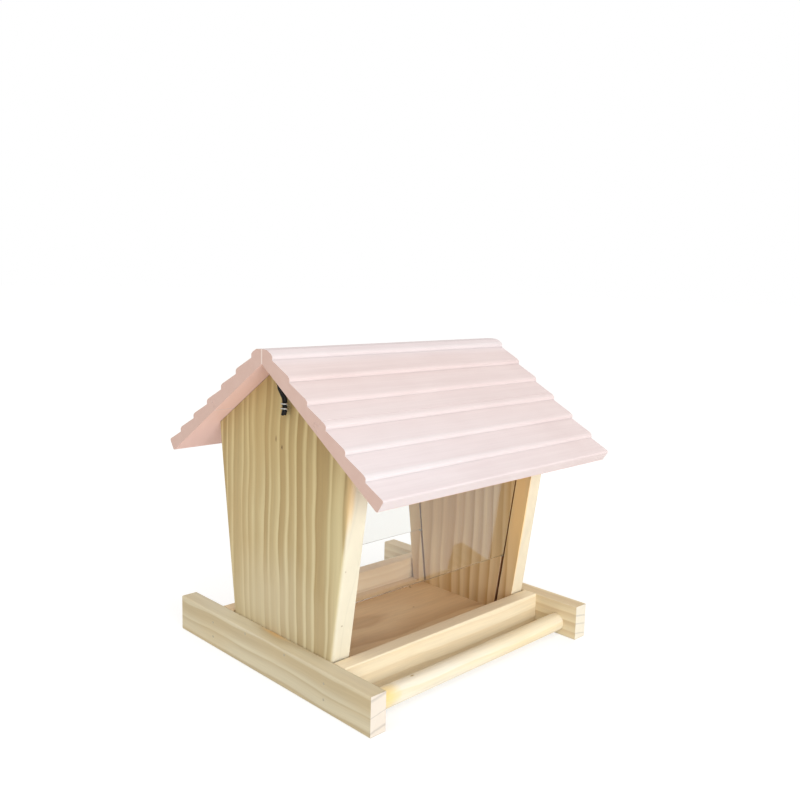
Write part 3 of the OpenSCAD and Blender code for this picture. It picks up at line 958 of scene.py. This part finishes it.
CORD_D = 1.8 * MM
BAIL_ROUTE = [
    (88.5, 0, 178), (89.2, 0, 178), (91.2, 0, 178.6), (92.6, 0, 180), (93, 0, 181.8),
    (93, 0, 184.2), (93, 0.5, 186.2), (93, 2, 187.5), (93, 4.1, 188.5), (93, 10.6, 191.9),
    (93, 12.5, 192.6), (92.8, 14.4, 192.4), (92.3, 16.3, 191.5), (89, 24, 187.6),
    (84, 38, 177.5), (79, 54, 166.4), (69, 68, 156.7), (53, 75, 151.8), (36, 72, 153.9),
    (20, 64, 159.4), (3, 62, 160.8), (-13, 69, 156), (-30, 77, 150.4), (-47, 77, 150.4),
    (-62, 68, 156.7), (-73, 54, 166.4), (-81, 38, 177.5), (-87, 24, 187.6),
    (-92.3, 16.3, 191.5), (-92.8, 14.4, 192.4), (-93, 12.5, 192.6), (-93, 10.6, 191.9),
    (-93, 4.1, 188.5), (-93, 2, 187.5), (-93, 0.5, 186.2), (-93, -0.2, 184.2),
    (-93, -0.8, 181.4), (-92.6, -3.4, 177), (-92.1, -6.8, 173), (-91.5, -8.4, 170),
    (-91.5, -8.4, 163), (-91.5, -8.1, 161.9), (-91.5, -7.6, 160.7),
]
HOUSE_ROUTE = [
    (88.5, 0, 178), (-84, 0, 178), (-88, 0, 178), (-89.8, -0.3, 177.6), (-91.1, -1.1, 176.6),
    (-91.6, -2.2, 175.1), (-91.6, -4.2, 172.7), (-91.5, -6.4, 169.2), (-91.5, -6.5, 166),
    (-91.5, -6.45, 163), (-91.45, -5.9, 161.8), (-91.3, -5.2, 160.2),
]

# The bands: middle in X and Y, height of each, radius of their wire, half the distance of the
# two strands, and how far the wire climbs on its way round
BAND_MIDDLE = (-91.5, -7.45)
BAND_HEIGHTS = {"cord_band_upper": 167.0, "cord_band_lower": 164.2}
BAND_WIRE_R = 0.45
STRANDS_APART = 0.95
BAND_CLIMB = 0.7


def route_curve(name, route):
    curve = bpy.data.curves.new(name, "CURVE")
    curve.dimensions = "3D"
    spline = curve.splines.new("POLY")
    spline.points.add(len(route) - 1)
    for point, place in zip(spline.points, route):
        point.co = (*place, 1)
    return curve


def make_cord(name, points, tree, material):
    """One stretch of the cord along its route, as a braided mesh, and the route itself."""
    route = smooth_route([Vector(p) * MM for p in points], 1.2 * MM)
    piece = run_geometry(
        name, route_curve(name + "_route", route), tree, {"Diameter": CORD_D}, material
    )
    return piece, route


def make_band(node, height, material):
    """A short length of bright wire bent once round both strands, its ends crossing."""
    bend_r = CORD_D / MM / 2 + 0.1 + BAND_WIRE_R
    points_round = 26
    points_past = 4
    route = []
    for i in range(points_round + points_past + 1):
        angle = FULL_TURN * i / points_round - math.pi * 0.55
        side = STRANDS_APART if math.sin(angle) > 0 else -STRANDS_APART
        climb = (i / (points_round + points_past) - 0.5) * BAND_CLIMB
        route.append(Vector((
            BAND_MIDDLE[0] + bend_r * math.cos(angle),
            BAND_MIDDLE[1] + side + bend_r * math.sin(angle),
            height + climb,
        )) * MM)
    mesh = swept_tube(node + "_wire", smooth_route(route, 0.25 * MM), BAND_WIRE_R * MM, 12)
    return link_mesh(node + "_wire", mesh, material)


def swept_tube(name, route, radius, sides):
    """A closed round tube along a route, with domed ends."""
    work = bmesh.new()
    rings = []
    side = Vector((0, 0, 1))
    last = len(route) - 1
    for i, place in enumerate(route):
        along = (route[min(i + 1, last)] - route[max(i - 1, 0)]).normalized()
        side = (side - along * side.dot(along)).normalized()
        other = along.cross(side)
        near_end = min(i, last - i)
        shrink = (0.72, 0.93)[near_end] if near_end < 2 else 1.0
        ring = []
        for k in range(sides):
            angle = FULL_TURN * k / sides
            outwards = math.cos(angle) * side + math.sin(angle) * other
            ring.append(work.verts.new(place + radius * shrink * outwards))
        rings.append(ring)
    for low, high in zip(rings, rings[1:]):
        for k in range(sides):
            near = (k + 1) % sides
            work.faces.new((low[k], low[near], high[near], high[k]))
    work.faces.new(list(reversed(rings[0])))
    work.faces.new(rings[-1])
    bmesh.ops.recalc_face_normals(work, faces=work.faces)
    mesh = bpy.data.meshes.new(name)
    work.to_mesh(mesh)
    work.free()
    mesh.shade_smooth()
    mesh.set_sharp_from_angle(angle=math.radians(50))
    return mesh


def add_cords(material, bright_wire):
    tree = build_braid_tree()
    for node, height in BAND_HEIGHTS.items():
        band = make_band(node, height, bright_wire)
        finish_piece(band, "house", "band_wire", node)

    held, held_route = make_cord("house_cord_braid", HOUSE_ROUTE, tree, material)
    finish_piece(held, "house", "black_cord", "house_cord")

    bail, bail_route = make_cord("hanging_cord_braid", BAIL_ROUTE, tree, material)
    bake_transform(bail)
    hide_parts("hanging_cord")


# Boards


def outer_edge(edge):
    """True for the leaning outer edges of a gable."""
    low, high = (v.co for v in edge.verts)
    outside = min(abs(low.x), abs(high.x)) > (GABLE_OUT_X - 0.1) * MM
    return outside and abs(high.z - low.z) > GABLE_EDGE * MM


def eave_edge(edge):
    """True for the two edges along the eaves of a roof board."""
    low, high = (v.co for v in edge.verts)
    return abs(high.x - low.x) > ROOF_EDGE * MM and min(low.z, high.z) < EAVE_TOP_Z * MM


def end_edge(edge):
    """True for the edges round the ends of a rail."""
    return min(abs(v.co.y) for v in edge.verts) > RAIL_END_Y * MM


# The woods of the boards: direction of the grain, place of the pith and spacing of the rings in
# millimetres, how far the rings wander in metres, and the colours. A mark has a place and a reach
# in millimetres, a colour and a strength.
# Sawn faces are paler partly as painted light, and the kerf and top tones are painted shade
WOODS = {
    "pine_gable_left": dict(
        along="Z", pith=(-150, -112), spacing=7.3, wander=0.010, broad=0.9,
        early=(218, 206, 168), late=(176, 153, 110), tint=(196, 173, 130),
        sawn_and_painted_light=(230, 222, 200), sawn_lines=0.12, painted_top_shade=(240, 230, 205), kerf=(168, 124, 88),
        marks=[
            ((-88.5, -50.0, 92.0), (3.0, 16.0, 60.0), (206, 196, 152), 0.35),
            # Paler and greyer towards the foot: painted light
            ((-88.5, 8.0, 38.0), (5.0, 75.0, 55.0), (216, 208, 182), 0.35),
            ((-88.0, -63.0, 118.0), (4.5, 7.0, 36.0), (234, 202, 150), 0.7),
            ((-88.5, 4.8, 144.3), (1.2, 0.9, 3.2), (120, 92, 48), 1.0),
            ((-88.5, -1.1, 140.0), (1.2, 1.1, 2.2), (84, 60, 34), 1.0),
            ((-84.0, -52.0, 44.4), (1.2, 2.0, 0.9), (140, 114, 76), 0.8),
            ((-86.0, -58.0, 78.0), (1.0, 2.0, 1.1), (150, 124, 84), 0.7),
        ],
    ),
    "pine_gable_right": dict(
        # Warmer than the left gable, as painted warm bounce light on its inner face
        along="Z", pith=(140, 84), spacing=7.4, wander=0.005, uneven=0.9,
        early=(230, 205, 163), late=(198, 161, 112), tint=(216, 178, 128),
        sawn_and_painted_light=(234, 221, 195), sawn_lines=0.12, kerf=(168, 124, 88),
        # A paler, more orange band in front of the kerf: painted light
        marks=[((75.5, -54.0, 90.0), (2.5, 19.0, 120.0), (250, 212, 152), 1.0)],
    ),
    "pine_rail_left": dict(
        along="Y", pith=(-80, -88), spacing=8.2, wander=0.006, contrast=1.25,
        early=(213, 203, 176), late=(193, 177, 144), tint=(206, 184, 142),
        sawn_and_painted_light=(229, 218, 205),
        marks=[((-90.0, 2.0, 23.5), (4.5, 20.0, 3.0), (208, 172, 118), 0.9)],
    ),
    "pine_rail_right": dict(
        along="Y", pith=(78, -90), spacing=6.6, wander=0.006, contrast=0.8,
        early=(234, 219, 186), late=(212, 188, 148), tint=(226, 200, 154),
        sawn_and_painted_light=(233, 224, 206),
    ),
    "pine_lip_front": dict(
        # Paler than the back lip: painted light for the floor's bounce
        along="X", pith=(-75, -70), spacing=7.5, wander=0.010, contrast=0.6,
        early=(241, 226, 196), late=(221, 197, 158), tint=(234, 208, 164),
    ),
    "pine_lip_back": dict(
        along="X", pith=(86, -60), spacing=7.0, wander=0.010, contrast=0.6,
        early=(228, 206, 172), late=(204, 172, 130), tint=(218, 184, 138),
    ),
    "pine_floor": dict(
        along="X", pith=(10, -48), spacing=7.5, wander=0.012, contrast=0.9,
        early=(238, 213, 173), late=(210, 177, 134), tint=(226, 192, 147),
        marks=[
            ((59.5, 34.5, 8.0), (1.4, 2.2, 1.0), (120, 78, 40), 1.0),
            ((69.2, 20.7, 8.0), (1.2, 0.9, 1.0), (226, 200, 160), 1.0),
            ((33.1, 4.7, 8.0), (1.5, 0.7, 1.0), (150, 106, 62), 1.0),
        ],
    ),
    "pine_dowel": dict(
        along="X", pith=(-94, -40), spacing=6.0, wander=0.008, contrast=0.7,
        early=(236, 228, 210), late=(226, 211, 177), tint=(240, 216, 166),
        marks=[
            ((-79.0, -82.0, 11.0), (20.0, 12.0, 10.0), (240, 208, 126), 0.9),
            ((-53.0, -79.0, 14.5), (2.6, 1.4, 1.6), (176, 146, 88), 0.9),
        ],
    ),
}

# Node, slot and wood of each board, the easing of its edges, and for some the larger easing of
# the edges that a test picks
BOARDS = [
    ("gable_left", "pine_gable", "pine_gable_left", 0.5, 2.4, outer_edge),
    ("gable_right", "pine_gable", "pine_gable_right", 0.5, 2.4, outer_edge),
    ("side_rail_left", "pine_rail", "pine_rail_left", 0.9, 1.7, end_edge),
    ("side_rail_right", "pine_rail", "pine_rail_right", 0.9, 1.7, end_edge),
    ("tray_lip_front", "pine_tray", "pine_lip_front", 0.6, 0.0, None),
    ("tray_lip_back", "pine_tray", "pine_lip_back", 0.6, 0.0, None),
    ("floor_board", "pine_tray", "pine_floor", 0.5, 0.0, None),
    ("perch_front", "dowel", "pine_dowel", 0.3, 0.0, None),
    ("perch_back", "dowel", "pine_dowel", 0.3, 0.0, None),
]


def add_boards():
    woods = {name: pine(name, **look) for name, look in WOODS.items()}
    for node, slot, wood, ease, round_ease, is_round in BOARDS:
        board = dressed_board(
            node, "house", slot, woods[wood], ease, round_ease=round_ease, is_round=is_round
        )
        if "kerf" in WOODS[wood]:
            mark_kerfs(board.data)


def add_roof():
    paint = roof_paint()
    for slope in ("front", "back"):
        for row in ("upper", "lower"):
            dressed_board(
                "roof_%s_%s" % (slope, row), "roof", "roof_paint", paint, 0.35,
                shortest=ROOF_EDGE, round_ease=1.3, is_round=eave_edge,
            )


def add_windows():
    clear = clear_acrylic()
    for node, side in (("window_front", -1), ("window_back", 1)):
        piece = link_mesh(node + "_pane", eased_copy(node, 0.12, 1.0, segments=1), clear)
        even_shading(piece)
        out = Vector((0, math.cos(PANE_LEAN), side * math.sin(PANE_LEAN)))
        mark_facing(
            piece.data, "sheet_edge", lambda normal: 1 - abs(normal.dot(out)), 0.02, 0.2
        )
        finish_piece(piece, "house", "clear_acrylic", node)


# Brads: diameters, and for each group its body, its places, the turn that points it inwards
# and its length

BRAD_D = 1.2
HEAD_D = 1.6
RIGHTWARDS = (0, 90, 0)
LEFTWARDS = (0, -90, 0)
UPWARDS = (0, 0, 0)
FORWARDS = (90, 0, 0)
RAIL_PLACES = [
    (-56.25, 7), (-56.25, 16.5), (56.25, 7), (56.25, 16.5), (-20, 20.7), (20, 20.7),
]
BRADS = {
    "rail_brads_left": ("house", [(-100, y, z) for y, z in RAIL_PLACES], RIGHTWARDS, 22),
    "rail_brads_right": ("house", [(100, y, z) for y, z in RAIL_PLACES], LEFTWARDS, 22),
    "floor_brads": ("house", [(x, y, 0) for x in (-82, 82) for y in (-26, 26)], UPWARDS, 22),
    "ridge_brads": ("roof", [(x, 10.18, 191.2) for x in (-80, 0, 80)], FORWARDS, 14),
}
STOPS = {"window_stops_left": (-84.5, RIGHTWARDS), "window_stops_right": (84.5, LEFTWARDS)}
STOP_Y = 40.52
STOP_Z = 48.86
STOP_LENGTH = 11


def add_brads():
    tree = build_brad_tree()
    steel = metal("brad_steel", (206, 196, 174), 0.5)
    for node, (body, places, turn, length) in BRADS.items():
        piece = brad_group(node, places, turn, HEAD_D, length, tree, steel)
        finish_piece(piece, body, "brad_steel", node)
    bright = metal("stop_steel", (196, 188, 170), 0.3)
    for name, (x, turn) in STOPS.items():
        places = [(x, -STOP_Y, STOP_Z), (x, STOP_Y, STOP_Z)]
        piece = brad_group(name, places, turn, BRAD_D, STOP_LENGTH, tree, bright)
        finish_piece(piece, "house", "brad_steel", "window_stops")


def brad_group(name, places, turn, head, length, tree, material):
    points = bpy.data.meshes.new(name + "_points")
    points.from_pydata([Vector(p) * MM for p in places], [], [])
    return run_geometry(name + "_made", points, tree, {
        "Shank Diameter": BRAD_D * MM,
        "Head Diameter": head * MM,
        "Length": length * MM,
        "Turn": [math.radians(v) for v in turn],
    }, material)


def main():
    clear_factory_objects()
    add_camera()
    add_cords(black_cord(), metal("band_wire", (205, 205, 200), 0.22))
    add_lamps()
    add_floor()
    add_world()
    add_boards()
    add_roof()
    add_windows()
    add_brads()
    bpy.context.scene.view_settings.view_transform = "Standard"


main()
